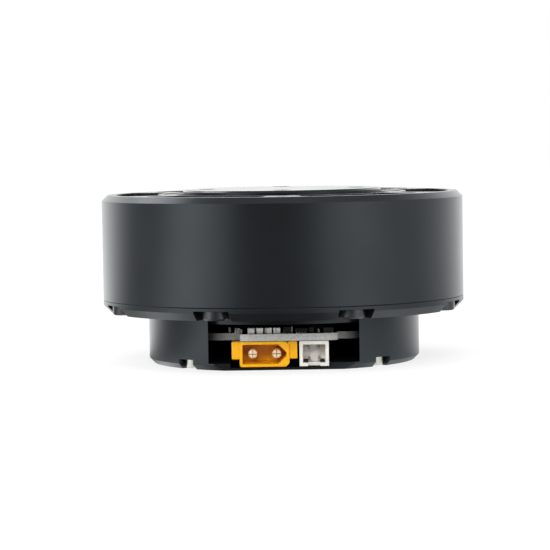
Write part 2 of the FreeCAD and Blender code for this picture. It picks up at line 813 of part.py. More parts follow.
def build_bearing_retainer():
    """The threaded ring over the output bearing's outer ring, with slots for a spanner."""
    body = new_body("bearing_retainer")
    revolve(body, [
        ("retainer_inner", "bearing_top"),
        ("bearing_outer - location_gap", "bearing_top"),
        ("bearing_outer - location_gap", "land"),
        ("retainer_outer", "land"),
        ("retainer_outer", "retainer_top - retainer_break"),
        ("retainer_outer - retainer_break", "retainer_top"),
        ("retainer_inner + retainer_break", "retainer_top"),
        ("retainer_inner", "retainer_top - retainer_break"),
    ])
    sketch = sketch_on(body, "slot_sketch", lift="retainer_top", turn="back_turn")
    rectangle(sketch, "retainer_inner - cut_margin", "retainer_outer + cut_margin",
              "-retainer_slot_width / 2", "retainer_slot_width / 2")
    slot = pocket(body, sketch, "retainer_slot_depth", "slot")
    polar(body, slot, "retainer_slot_count", "slot_set")


def build_output_flange():
    """The turning flange: a disc with tapped holes and a neck through the output bearing."""
    body = new_body("output_flange")
    revolve(body, [
        ("0", "bearing_base"),
        ("bearing_inner", "bearing_base"),
        ("bearing_inner", "bearing_top"),
        ("bearing_inner + flange_shoulder", "bearing_top"),
        ("bearing_inner + flange_shoulder", "flange_under"),
        ("flange_radius", "flange_under"),
        ("flange_radius", "flange_top - flange_chamfer"),
        ("flange_radius - flange_chamfer", "flange_top"),
        ("0", "flange_top"),
    ])
    holes(body, "output_hole_circle", "output_hole_radius", "output_hole_count",
          "output_hole_depth", "output_hole", "flange_top")
    dress(body, "Chamfer", lambda edge: is_circle_at(
        edge, value("output_hole_radius"), value("flange_top")
    ), "output_hole_chamfer", "output_hole_mouths")
    holes(body, "post_circle", "post_screw_radius", "planet_count", "post_screw_grip + drill_relief",
          "post_screw_hole", "bearing_base", upward=True, turn="180 / planet_count + front_turn")


def build_planet_carrier():
    """The carrier's front plate, with posts between the planets."""
    body = new_body("planet_carrier")
    revolve(body, [
        ("sun_tip + sun_clearance", "carrier_base"),
        ("carrier_radius", "carrier_base"),
        ("carrier_radius", "bearing_base"),
        ("front_bearing_outer", "bearing_base"),
        ("front_bearing_outer", "front_bearing_base"),
        ("sun_tip + sun_clearance", "front_bearing_base"),
    ])
    sketch = sketch_on(body, "post_sketch", lift="plate_top", turn="180 / planet_count + front_turn")
    circle(sketch, "post_circle", "0", "post_radius")
    polar(body, pad(body, sketch, "carrier_base - plate_top", "post"), "planet_count", "post_set")
    holes(body, "post_circle", "post_screw_radius + screw_gap", "planet_count",
          "bearing_base - plate_top", "screw_hole", "plate_top", upward=True,
          turn="180 / planet_count + front_turn")
    holes(body, "planet_circle", "pin_radius", "planet_count", "pin_depth", "pin_hole",
          "carrier_base", upward=True, turn="front_turn")


def build_carrier_plate():
    """The carrier's rear plate, with counterbores for its screws."""
    body = new_body("carrier_plate")
    revolve(body, [
        ("sun_tip + sun_clearance", "plate_base"),
        ("carrier_plate_radius", "plate_base"),
        ("carrier_plate_radius", "plate_top"),
        ("sun_tip + sun_clearance", "plate_top"),
    ])
    holes(body, "planet_circle", "pin_radius", "planet_count", "carrier_plate_thickness",
          "pin_hole", "plate_top", turn="front_turn")
    holes(body, "post_circle", "post_screw_radius + screw_gap", "planet_count",
          "carrier_plate_thickness", "screw_hole", "plate_top", turn="180 / planet_count + front_turn")
    holes(body, "post_circle", "post_screw_head + screw_gap", "planet_count",
          "post_screw_head_height + screw_gap", "counterbore", "plate_base", upward=True,
          turn="180 / planet_count + front_turn")


def build_rotor_bell():
    """The rotor's hub, web and ring, which turns round the gearbox tube."""
    body = new_body("rotor_bell")
    revolve(body, [
        ("shaft_radius", "web_base - hub_step"),
        ("hub_radius", "web_base - hub_step"),
        ("hub_radius", "web_base"),
        ("rotor_outer", "web_base"),
        ("rotor_outer", "rotor_top"),
        ("rotor_inner", "rotor_top"),
        ("rotor_inner", "web_top"),
        ("hub_radius", "web_top"),
        ("hub_radius", "web_top + hub_step"),
        ("shaft_radius", "web_top + hub_step"),
    ])
    holes(body, "web_hole_circle", "web_hole_radius", "web_hole_count", "web_thickness",
          "web_hole", "web_top")


def build_stator_core():
    """The lamination stack: a yoke and parallel-sided teeth that point inwards."""
    body = new_body("stator_core")
    sketch = sketch_on(body, "ring_sketch", lift="stator_bottom")
    circle(sketch, "0", "0", "drum_bore")
    circle(sketch, "0", "0", "stator_inner")
    pad(body, sketch, "stator_height", "ring")
    half_pitch = "180 / slot_count"
    inner = "(stator_inner + tooth_tip)"
    outer = "slot_outer"
    side = "{0} * tan(" + half_pitch + ") - tooth_width / 2 / cos(" + half_pitch + ")"
    sketch = sketch_on(body, "slot_sketch", lift="stator_top")
    outline(sketch, [
        ("stator_inner - cut_margin", "-slot_mouth / 2"),
        (inner, "-slot_mouth / 2"),
        (inner, f"-({side.format(inner)})"),
        (outer, f"-({side.format(outer)})"),
        (outer, side.format(outer)),
        (inner, side.format(inner)),
        (inner, "slot_mouth / 2"),
        ("stator_inner - cut_margin", "slot_mouth / 2"),
    ])
    polar(body, pocket(body, sketch, "stator_height", "slot"), "slot_count", "slot_set")


def build_windings():
    """One coil round each stator tooth, clear of the coils beside it."""
    low = value("stator_inner + tooth_tip + coil_end_gap")
    high = value("slot_outer - coil_end_gap")
    tooth = value("tooth_width / 2 + coil_gap")
    side = tooth + value("coil_side")
    bottom = value("stator_bottom - coil_overhang")
    top = value("stator_top + coil_overhang")
    coil = box_at(low, high, -side, side, bottom, top)
    window = box_at(low, high, -tooth, tooth, value("stator_bottom - coil_gap"),
                    value("stator_top + coil_gap"))
    slots = value("slot_count")
    coils = around(coil.cut(window), slots, 0, first=180.0 / slots)
    solid_node("stator_windings", Part.makeCompound(coils))


def build_magnets():
    """Arc magnets on the rotor ring, with a gap between neighbours."""
    count = value("magnet_count")
    inner, outer = value("rotor_outer"), value("magnet_outer")
    span = 360.0 / count - math.degrees(value("magnet_spacing") / outer)
    bottom, height = value("magnet_bottom"), value("magnet_height")
    start = Vector(0, 0, bottom)
    block = Part.makeCylinder(outer, height, start, Vector(0, 0, 1), span)
    block = block.cut(Part.makeCylinder(inner, height, start))
    solid_node("rotor_magnets", Part.makeCompound(around(block, count, 0)))
    seat = value("shaft_tail")
    magnet = cylinder_at(value("encoder_magnet_radius"), seat,
                         seat + value("encoder_magnet_height"))
    solid_node("encoder_magnet", magnet)


def build_gears():
    """The planetary train, in mesh: ring gear, sun gear on its shaft, planets and their bushes."""
    module = value("gear_module")
    sun_teeth, planet_teeth, ring_teeth = [
        value(name) for name in ("sun_teeth", "planet_teeth", "ring_teeth")
    ]
    shift, thinning = value("sun_shift"), value("tooth_thinning")
    addendum, dedendum = module, value("dedendum_share") * module
    sun_pitch, planet_pitch, ring_pitch = [
        value(name) for name in ("sun_pitch", "planet_pitch", "ring_pitch")
    ]
    centre = value("planet_circle")
    first = value("front_turn")

    tail, journal = value("shaft_tail"), value("journal_radius")
    wire = gear_outline(sun_teeth, module, shift, thinning, value("sun_tip"),
                        sun_pitch - dedendum + shift * module)
    sun_bottom, sun_top = value("plate_top - carrier_side_gap"), value("carrier_base")
    sun = gear_solid(wire, sun_bottom, sun_top, first)
    shaft = cylinder_at(value("shaft_radius"), tail, sun_bottom)
    front = cylinder_at(journal, sun_top, value("shaft_end"))
    seat = cylinder_at(value("encoder_magnet_radius"), tail,
                       tail + value("encoder_magnet_height"))
    solid_node("sun_gear", sun.fuse([shaft, front]).cut(seat).removeSplitter())

    low, high = value("planet_bottom"), value("planet_top")
    wire = gear_outline(planet_teeth, module, -shift, thinning,
                        planet_pitch + addendum - shift * module,
                        planet_pitch - dedendum - shift * module)
    bush_inner = value("pin_radius + pin_running_gap")
    bush_outer = bush_inner + value("bush_wall")
    count = int(value("planet_count"))
    for index in range(count):
        direction = first + 360.0 * index / count
        sun_step = 360.0 / sun_teeth
        ahead = round((direction - first) / sun_step) * sun_step - (direction - first)
        space = direction + 180 - ahead * sun_teeth / planet_teeth
        place = Vector(0, -centre, 0)
        place = Rotation(Vector(0, 0, 1), direction - first).multVec(place)
        gear = gear_solid(wire, low, high, space + 180.0 / planet_teeth)
        gear = gear.cut(cylinder_at(bush_outer, low, high))
        bush = cylinder_at(bush_outer, low, high).cut(cylinder_at(bush_inner, low, high))
        gear.translate(place)
        bush.translate(place)
        solid_node(f"planet_gear_{index + 1}", gear)
        solid_node(f"planet_bush_{index + 1}", bush)

    # the ring's tooth space is a planet-like tooth; its crest is cut back to clear planet roots
    pressure = math.radians(value("pressure_angle"))
    clear_tip = math.hypot(ring_pitch * math.cos(pressure), centre * math.sin(pressure))
    ring_tip = max(value("ring_tip"), clear_tip + thinning)
    wire = gear_outline(ring_teeth, module, -shift, -thinning,
                        ring_pitch + dedendum - shift * module, ring_tip)
    bottom, top = value("ring_bottom"), value("ring_top")
    turn = first + (180.0 / ring_teeth if planet_teeth % 2 == 0 else 0.0)
    ring = cylinder_at(value("tube_bore"), bottom, top).cut(gear_solid(wire, bottom, top, turn))
    solid_node("ring_gear", ring)


def build_carrier_fasteners():
    """Planet pins, and the long screws that hold plate, posts and flange together."""
    count = value("planet_count")
    pin = cylinder_at(value("pin_radius"), value("plate_base"), value("carrier_base + pin_depth"))
    pins = around(pin, count, value("planet_circle"), value("front_turn"))
    solid_node("planet_pins", Part.makeCompound(pins))
    seat = value("plate_base + post_screw_head_height + screw_gap")
    screw = socket_screw(value("post_screw_radius - thread_gap"), value("post_screw_head"),
                         value("post_screw_head_height"), seat,
                         value("bearing_base + post_screw_grip") - seat)
    screws = around(screw, count, value("post_circle"), 180.0 / count + value("front_turn"))
    solid_node("carrier_screws", Part.makeCompound(screws))


def build_output_bearing():
    """A crossed roller bearing: two grooved rings, and rollers tilted one way and the other."""
    outer, inner = value("bearing_outer"), value("bearing_inner")
    base, top, middle = [value(n) for n in ("bearing_base", "bearing_top", "bearing_middle")]
    pitch, groove, split = [value(n) for n in ("roller_circle", "groove_depth", "bearing_split")]
    for name, wall, side in (("output_bearing_outer", outer, 1), ("output_bearing_inner", inner, -1)):
        face = pitch + side * split
        apex = pitch + side * groove
        mouth = abs(apex - face)
        corners = [(wall, base), (wall, top), (face, top), (face, middle + mouth),
                   (apex, middle), (face, middle - mouth), (face, base), (wall, base)]
        section = Part.Face(Part.makePolygon([Vector(r, 0, z) for r, z in corners]))
        solid_node(name, section.revolve(Vector(), Vector(0, 0, 1), 360))
    size, gap = value("roller_size"), value("roller_gap")
    length = size - 2 * value("roller_end_gap")
    roller = Part.makeCylinder(size / 2 - gap, length, Vector(0, 0, -length / 2))
    count = int(value("roller_count"))
    rollers = []
    for index in range(count):
        tilted = roller.copy()
        tilted.rotate(Vector(), Vector(0, 1, 0), 45 if index % 2 else -45)
        tilted.translate(Vector(pitch, 0, middle))
        tilted.rotate(Vector(), Vector(0, 0, 1), 360.0 * index / count)
        rollers.append(tilted)
    solid_node("output_bearing_rollers", Part.makeCompound(rollers))


def build_rotor_bearing(name, bore, outer, base, width):
    """A shielded bearing as its two rings; the shields are one with the outer ring."""
    section, shield, gap = [
        value(n) for n in ("ring_section", "shield_thickness", "shield_gap")
    ]
    inner_face = bore + section
    outer_face = outer - section
    lip = inner_face + gap
    inner = cylinder_at(inner_face, base, base + width).cut(cylinder_at(bore, base, base + width))
    solid_node(f"{name}_inner", inner)
    ring = cylinder_at(outer, base, base + width).cut(cylinder_at(lip, base, base + width))
    race = cylinder_at(outer_face, base + shield, base + width - shield)
    solid_node(f"{name}_outer", ring.cut(race))


def build_case_screws():
    """The screws of the end cap and of the driver cover, heads down."""
    count = value("cap_screw_count")
    screw = socket_screw(value("cap_screw_radius - thread_gap"), value("cap_screw_head"),
                         value("cap_screw_head_height"), value("cap_base + notch_height"),
                         value("cap_screw_length"))
    screws = around(screw, count, value("cap_screw_circle"), 180.0 / count)
    solid_node("housing_screws", Part.makeCompound(screws))
    count = value("cover_screw_count")
    screw = socket_screw(value("cover_screw_radius - thread_gap"), value("cover_screw_head"),
                         value("cover_screw_head_height"), value("cover_notch_height"),
                         value("cover_screw_length"))
    screws = around(screw, count, value("cover_screw_circle"), 180.0 / count)
    solid_node("cover_screws", Part.makeCompound(screws))


def build_driver_board():
    """The round board: a front tab between the connectors' ends, and reliefs for the bosses."""
    body = new_body("driver_board")
    sketch = sketch_on(body, "disc_sketch", lift="board_bottom")
    circle(sketch, "0", "0", "board_radius")
    pad(body, sketch, "board_thickness", "disc")
    sketch = sketch_on(body, "front_sketch", lift="board_top")
    outline(sketch, [
        ("-cover_radius", "-cover_radius"),
        ("cover_radius", "-cover_radius"),
        ("cover_radius", "-board_shoulder"),
        ("board_tab_right", "-board_shoulder"),
        ("board_tab_right", "-cover_front"),
        ("-board_tab_left", "-cover_front"),
        ("-board_tab_left", "-board_shoulder"),
        ("-cover_radius", "-board_shoulder"),
    ])
    pocket(body, sketch, "board_thickness", "front_cut")
    holes(body, "cover_screw_circle", "cover_boss_radius + 2 * boss_gap", "cover_screw_count",
          "board_thickness", "boss_relief", "board_top", turn="180 / cover_screw_count")
    holes(body, "spacer_circle", "board_screw_radius + screw_gap", "spacer_count",
          "board_thickness", "screw_hole", "board_top", turn="back_turn")


def build_board_fixings():
    """Spacers between board and end cap, and the screws through them."""
    count, bolt_circle = value("spacer_count"), value("spacer_circle")
    low, high = value("board_top"), value("spigot_base")
    bore = value("board_screw_radius + screw_gap")
    spacer = cylinder_at(value("spacer_radius"), low, high).cut(cylinder_at(bore, low, high))
    turn = value("back_turn")
    solid_node("board_spacers", Part.makeCompound(around(spacer, count, bolt_circle, turn)))
    seat = value("board_bottom")
    screw = socket_screw(value("board_screw_radius - thread_gap"), value("board_screw_head"),
                         value("board_screw_head_height"), seat,
                         high + value("board_screw_grip") - seat)
    solid_node("board_screws", Part.makeCompound(around(screw, count, bolt_circle, turn)))


def build_board_components():
    """Chips and capacitors that stand on the board."""
    top, under = value("board_top"), value("board_bottom")
    height = value("chip_height")
    side, pitch = value("capacitor_side"), value("capacitor_pitch")
    left = value("capacitor_left")
    front = -value("cover_front - capacitor_setback")
    block = box_at(left, left + side, front, front + side, top, top + value("capacitor_height"))
    blocks = [
        block.translated(Vector(index * pitch, 0, 0))
        for index in range(int(value("capacitor_count")))
    ]
    solid_node("filter_capacitors", Part.makeCompound(blocks))
    wide, long = value("mosfet_width") / 2, value("mosfet_length") / 2
    mosfet = box_at(-wide, wide, -long, long, top, top + height)
    mosfets = around(mosfet, value("mosfet_count"), value("mosfet_circle"))
    solid_node("mosfets", Part.makeCompound(mosfets))
    half = value("encoder_chip_side") / 2
    solid_node("encoder_chip", box_at(-half, half, -half, half, top, top + height))
    side, offset = value("controller_side"), value("controller_offset")
    solid_node("controller_chip", box_at(-side / 2, side / 2, offset, offset + side,
                                         under - height, under))
    radius, base = value("can_radius"), under - value("can_height")
    can = cylinder_at(radius, base, under, 0, value("can_circle"))
    rim = [edge for edge in can.Edges if is_circle_at(edge, radius, base)]
    can = can.makeChamfer(value("can_break"), rim)
    count, pitch = int(value("can_count")), value("can_pitch")
    cans = [
        can.translated(Vector((index - (count - 1) / 2) * pitch, 0, 0)) for index in range(count)
    ]
    solid_node("bulk_capacitors", Part.makeCompound(cans))


def lead_angles():
    """The phase leads leave from neighbouring coils at the back of the motor."""
    step = 360.0 / value("slot_count")
    first = value("back_turn") - step / 2
    return [first + step * (i - 1) for i in range(int(value("lead_count")))]


def build_phase_leads():
    """Leads from the coils down through the end cap to the board, with two small bends."""
    radius, bend = value("lead_radius"), value("lead_bend")
    start_radius = value("stator_inner + tooth_tip + coil_end_gap + lead_radius")
    end_radius = value("lead_circle")
    start, end = value("lead_start"), value("board_top")
    knee_top, knee_low = start - bend, value("seam + lead_radius")
    path = [Vector(start_radius, 0, start), Vector(start_radius, 0, knee_top),
            Vector(end_radius, 0, knee_low), Vector(end_radius, 0, end)]
    edges = []
    before = path[0]
    for corner, after in zip(path[1:-1], path[2:]):
        into = (corner - before).normalize()
        out = (after - corner).normalize()
        turn = into.getAngle(out)
        cut = min(bend * math.tan(turn / 2),
                  (after - corner).Length * value("lead_bend_share"))
        arc_start, arc_end = corner - into * cut, corner + out * cut
        fillet_radius = cut / math.tan(turn / 2)
        inward = (out - into).normalize()
        middle = corner + inward * (fillet_radius / math.cos(turn / 2) - fillet_radius)
        edges.append(Part.makeLine(before, arc_start))
        edges.append(Part.Arc(arc_start, middle, arc_end).toShape())
        before = arc_end
    edges.append(Part.makeLine(before, path[-1]))
    circle_edge = Part.makeCircle(radius, path[0], Vector(0, 0, -1))
    lead = Part.Wire(edges).makePipeShell([Part.Wire([circle_edge])], True, True)
    leads = []
    for angle in lead_angles():
        copy = lead.copy()
        copy.rotate(Vector(), Vector(0, 0, 1), angle)
        leads.append(copy)
    solid_node("phase_leads", Part.makeCompound(leads))


def is_along_y(edge, x, heights):
    """An edge parallel to Y at this x and at one of these heights."""
    box = edge.BoundBox
    if box.XLength > length_tolerance or box.ZLength > length_tolerance:
        return False
    apart = [abs(box.Center.z - height) for height in heights]
    return abs(box.Center.x - x) < length_tolerance and min(apart) < length_tolerance


def keyed_outline(sketch, left, right, low, high, corner):
    """A rectangle with its two right corners cut off, which keys the plug."""
    outline(sketch, [
        (left, low),
        (f"{right} - {corner}", low),
        (right, f"{low} + {corner}"),
        (right, f"{high} - {corner}"),
        (f"{right} - {corner}", high),
        (left, high),
    ])


def build_power_connector():
    """The board's two-pin power connector: a keyed shell with ears, mouth to the front."""
    body = new_body("power_connector_housing")
    right, top = "power_left + power_width", "power_base + power_height"
    sketch = sketch_on(body, "shell_sketch", "XZ_Plane", lift="mouth_front")
    keyed_outline(sketch, "power_left", right, "power_base", top, "power_shell_corner")
    shell = pad(body, sketch, "power_depth", "shell")
    shell.Reversed = True
    doc.recompute()
    dress(body, "Fillet", lambda edge: is_along_y(
        edge, value("power_left"), (value("power_base"), value(top))
    ), "power_shell_round", "shell_edges")
    sketch = sketch_on(body, "ear_sketch", "XZ_Plane", lift="mouth_front - ear_setback")
    rectangle(sketch, "power_left - ear_width", f"{right} + ear_width", f"{top} - ear_height", top)
    ears = pad(body, sketch, "ear_depth", "ears")
    ears.Reversed = True
    doc.recompute()
    sketch = sketch_on(body, "cavity_sketch", "XZ_Plane", lift="mouth_front")
    keyed_outline(sketch, "power_left + power_wall", f"{right} - power_wall",
                  "power_base + power_wall", f"{top} - power_wall", "power_corner")
    pocket(body, sketch, "power_cavity", "cavity")
    sketch = sketch_on(body, "pin_sketch", "XZ_Plane", lift="mouth_front - power_cavity")
    middle = "power_base + power_height / 2"
    for index in range(2):
        circle(sketch, f"power_left + power_pin_offset + {index} * power_pin_pitch", middle,
               "power_pin_radius")
    pocket(body, sketch, "power_depth - power_cavity", "pin_holes")

    radius, overhang = value("power_pin_radius"), value("power_pin_overhang")
    front = -value("mouth_front - power_pin_setback")
    back = -value("mouth_front - power_depth") + overhang
    z = value(middle)
    half, slit_end = value("power_pin_slit") / 2, front + value("power_pin_slit_depth")
    pins = []
    for index in range(2):
        x = value(f"power_left + power_pin_offset + {index} * power_pin_pitch")
        pin = Part.makeCylinder(radius, back - front, Vector(x, front, z), Vector(0, 1, 0))
        tip = [edge for edge in pin.Edges if edge.BoundBox.YMax < front + length_tolerance]
        pin = pin.makeChamfer(value("power_pin_break"), tip)
        pin = pin.cut(box_at(x - half, x + half, front, slit_end, z - radius, z + radius))
        pin = pin.cut(box_at(x - radius, x + radius, front, slit_end, z - half, z + half))
        tail = cylinder_at(value("power_tail_radius"), z, value("board_bottom"), x,
                           back - overhang / 2)
        pins.append(pin.fuse(tail).removeSplitter())
    solid_node("power_connector_pins", Part.makeCompound(pins))


def build_signal_connector():
    """The board's four-pin signal header, with a key slot in its lower wall."""
    body = new_body("signal_connector_housing")
    right, top = "signal_left + signal_width", "signal_base + signal_height"
    sketch = sketch_on(body, "shell_sketch", "XZ_Plane", lift="mouth_front")
    rectangle(sketch, "signal_left", right, "signal_base", top)
    shell = pad(body, sketch, "signal_depth", "shell")
    shell.Reversed = True
    doc.recompute()
    sketch = sketch_on(body, "cavity_sketch", "XZ_Plane", lift="mouth_front")
    rectangle(sketch, "signal_left + signal_wall", f"{right} - signal_wall",
              "signal_base + signal_wall", f"{top} - signal_wall")
    pocket(body, sketch, "signal_cavity", "cavity")
    sketch = sketch_on(body, "key_sketch", "XZ_Plane", lift="mouth_front")
    centre = "signal_left + signal_width / 2"
    rectangle(sketch, f"{centre} - signal_key", f"{centre} + signal_key",
              "signal_base - signal_wall", "signal_base + 2 * signal_wall")
    pocket(body, sketch, "signal_key_depth", "key")
    side = "signal_pin_side"
    sketch = sketch_on(body, "pin_sketch", "XZ_Plane", lift="mouth_front - signal_cavity")
    pins = []
    front = -value("mouth_front - signal_pin_setback")
    back = -value("mouth_front - signal_depth") + value("signal_pin_overhang")
    half = value(side) / 2
    for column in (-0.5, 0.5):
        for row in (-0.5, 0.5):
            x = f"{centre} + {column} * signal_pin_pitch"
            z = f"signal_base + signal_height / 2 + {row} * signal_pin_pitch"
            rectangle(sketch, f"{x} - {side} / 2", f"{x} + {side} / 2",
                      f"{z} - {side} / 2", f"{z} + {side} / 2")
            # the lower row reaches further back, so that its tails pass behind the upper row
            end = back + (0.5 - row) * value("signal_row_step")
            left, low = value(x) - half, value(z) - half
            pin = box_at(left, left + 2 * half, front, end, low, low + 2 * half)
            tail = box_at(left, left + 2 * half, end - 2 * half, end, low, value("board_bottom"))
            pins.append(pin.fuse(tail).removeSplitter())
    pocket(body, sketch, "signal_depth - signal_cavity", "pin_holes")
    solid_node("signal_connector_pins", Part.makeCompound(pins))


def write_parts():
    """Check every object of the document, then write one STEP file for each node."""
    doc.recompute()
    for item in doc.Objects:
        if "Invalid" in item.State or "Error" in item.State:
            raise RuntimeError(f"{item.Name} is {item.State}")
    os.makedirs("parts", exist_ok=True)
    nodes = [item for item in doc.Objects if item.TypeId in ("PartDesign::Body", "Part::Feature")]
    for node in nodes:
        shape = node.Shape
        if shape.isNull() or not shape.isValid() or not shape.Solids:
            raise RuntimeError(f"{node.Label} has no valid solid")
        shape.exportStep(f"parts/{node.Label}.step")
    print(len(nodes), "nodes written")


fill_sheet()
build_motor_housing()
build_rear_end_cap()
build_driver_cover()
build_bearing_retainer()
build_output_flange()
build_planet_carrier()
build_carrier_plate()
build_rotor_bell()
build_stator_core()
build_windings()
build_magnets()
build_gears()
build_carrier_fasteners()
build_output_bearing()
build_rotor_bearing("rear_rotor_bearing", value("shaft_radius"), value("rear_bearing_outer"),
                    value("rear_bearing_base"), value("rear_bearing_width"))
build_rotor_bearing("front_rotor_bearing", value("journal_radius"), value("front_bearing_outer"),
                    value("front_bearing_base"), value("front_bearing_width"))
build_case_screws()
build_driver_board()
build_board_fixings()
build_board_components()
build_phase_leads()
build_power_connector()
build_signal_connector()
write_parts()
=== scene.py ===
# Robot joint actuator: finishes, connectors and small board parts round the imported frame.
import json
import math

import bmesh
import bpy
import numpy as np
from mathutils import Matrix, Vector


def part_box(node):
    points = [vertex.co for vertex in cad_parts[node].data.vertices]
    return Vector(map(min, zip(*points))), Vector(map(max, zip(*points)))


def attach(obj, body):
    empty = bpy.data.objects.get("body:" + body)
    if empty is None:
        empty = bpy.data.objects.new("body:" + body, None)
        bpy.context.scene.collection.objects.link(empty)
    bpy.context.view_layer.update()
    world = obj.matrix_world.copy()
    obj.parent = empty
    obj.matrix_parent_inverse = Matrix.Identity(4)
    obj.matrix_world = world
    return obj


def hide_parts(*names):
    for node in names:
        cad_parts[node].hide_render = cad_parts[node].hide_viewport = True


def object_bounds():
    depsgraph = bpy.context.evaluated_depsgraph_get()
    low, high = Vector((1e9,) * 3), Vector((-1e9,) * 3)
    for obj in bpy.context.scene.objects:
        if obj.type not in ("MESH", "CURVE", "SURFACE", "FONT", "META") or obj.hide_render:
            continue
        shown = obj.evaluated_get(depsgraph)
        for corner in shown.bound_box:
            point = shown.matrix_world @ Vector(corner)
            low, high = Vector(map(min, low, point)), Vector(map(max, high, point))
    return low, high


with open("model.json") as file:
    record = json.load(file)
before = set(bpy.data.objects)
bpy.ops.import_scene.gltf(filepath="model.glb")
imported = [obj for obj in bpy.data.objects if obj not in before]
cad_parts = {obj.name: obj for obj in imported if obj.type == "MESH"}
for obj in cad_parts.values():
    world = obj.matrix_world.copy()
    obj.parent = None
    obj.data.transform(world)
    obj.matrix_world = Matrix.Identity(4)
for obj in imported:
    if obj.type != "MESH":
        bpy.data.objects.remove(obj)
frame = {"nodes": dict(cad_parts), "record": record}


def asLists(corners):
    return [[float(v) for v in corner] for corner in corners]


frameBox = asLists(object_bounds())
mm = 0.001
print("frame loaded:", len(frame["nodes"]), "nodes")


# materials: each is a small node graph that reads Object coordinates

def startMaterial(name):
    material = bpy.data.materials.new(name)
    material.use_nodes = True
    tree = material.node_tree
    tree.nodes.clear()
    shader = tree.nodes.new("ShaderNodeBsdfPrincipled")
    output = tree.nodes.new("ShaderNodeOutputMaterial")
    tree.links.new(shader.outputs["BSDF"], output.inputs["Surface"])
    return material, tree, shader


# a node with its sockets set to plain values, or linked to other nodes' outputs
def addNode(tree, kind, settings=None, links=None):
    node = tree.nodes.new(kind)
    for key, setting in (settings or {}).items():
        if isinstance(key, int) or key in node.inputs:
            node.inputs[key].default_value = setting
        else:
            setattr(node, key, setting)
    for key, source in (links or {}).items():
        tree.links.new(source, node.inputs[key])
    return node


def objectPoints(tree, stretch=(1, 1, 1), centre=(0, 0, 0)):
    place = addNode(tree, "ShaderNodeTexCoord").outputs["Object"]
    return addNode(tree, "ShaderNodeMapping", {"Scale": stretch, "Location": centre},
                   {"Vector": place}).outputs["Vector"]


def noiseOf(tree, points, scale, detail=3.0, roughness=0.5):
    return addNode(tree, "ShaderNodeTexNoise",
                   {"Scale": scale, "Detail": detail, "Roughness": roughness},
                   {"Vector": points}).outputs["Fac"]


# the source's middle range carried to low..high, and held there outside it
def ranged(tree, source, low, high, fromLow=0.3, fromHigh=0.7):
    return addNode(tree, "ShaderNodeMapRange",
                   {"From Min": fromLow, "From Max": fromHigh, "To Min": low, "To Max": high},
                   {"Value": source}).outputs["Result"]


# a colour between two colours by the factor; each is a plain colour or a socket
def blended(tree, factor, first, second):
    node = tree.nodes.new("ShaderNodeMix")
    node.data_type = "RGBA"
    tree.links.new(factor, node.inputs["Factor"])
    for key, colour in (("A", first), ("B", second)):
        socket = [s for s in node.inputs if s.name == key and s.type == "RGBA"][0]
        if isinstance(colour, (tuple, list)):
            socket.default_value = (*colour, 1)
        else:
            tree.links.new(colour, socket)
    return [s for s in node.outputs if s.type == "RGBA"][0]


# a general finish: two tones mixed by a broad noise, roughness by the same noise at half its
# scale, and a bump from a fine noise, on normals softened at the edges
def makeFinish(name, look):
    material, tree, shader = startMaterial(name)
    points = objectPoints(tree, look.get("stretch", (1, 1, 1)))
    broad = noiseOf(tree, points, look.get("toneScale", 90))
    colour = blended(tree, ranged(tree, broad, 0, 1), look["dark"], look["light"])
    tree.links.new(colour, shader.inputs["Base Color"])
    worn = noiseOf(tree, points, look.get("toneScale", 90) / 2, 5)
    low, high = look["roughness"]
    tree.links.new(ranged(tree, worn, low, high), shader.inputs["Roughness"])
    grain = noiseOf(tree, points, look.get("grainScale", 4500), 2)
    soft = addNode(tree, "ShaderNodeBevel", {"Radius": look.get("edge", 0.12) * mm})
    soft.samples = 4
    bump = addNode(tree, "ShaderNodeBump",
                   {"Strength": look.get("bump", 0.2), "Distance": look.get("depth", 0.01) * mm},
                   {"Height": grain, "Normal": soft.outputs["Normal"]})
    tree.links.new(bump.outputs["Normal"], shader.inputs["Normal"])
    for key, socket in (("metal", "Metallic"), ("specular", "Specular IOR Level")):
        if key in look:
            shader.inputs[socket].default_value = look[key]
    return material


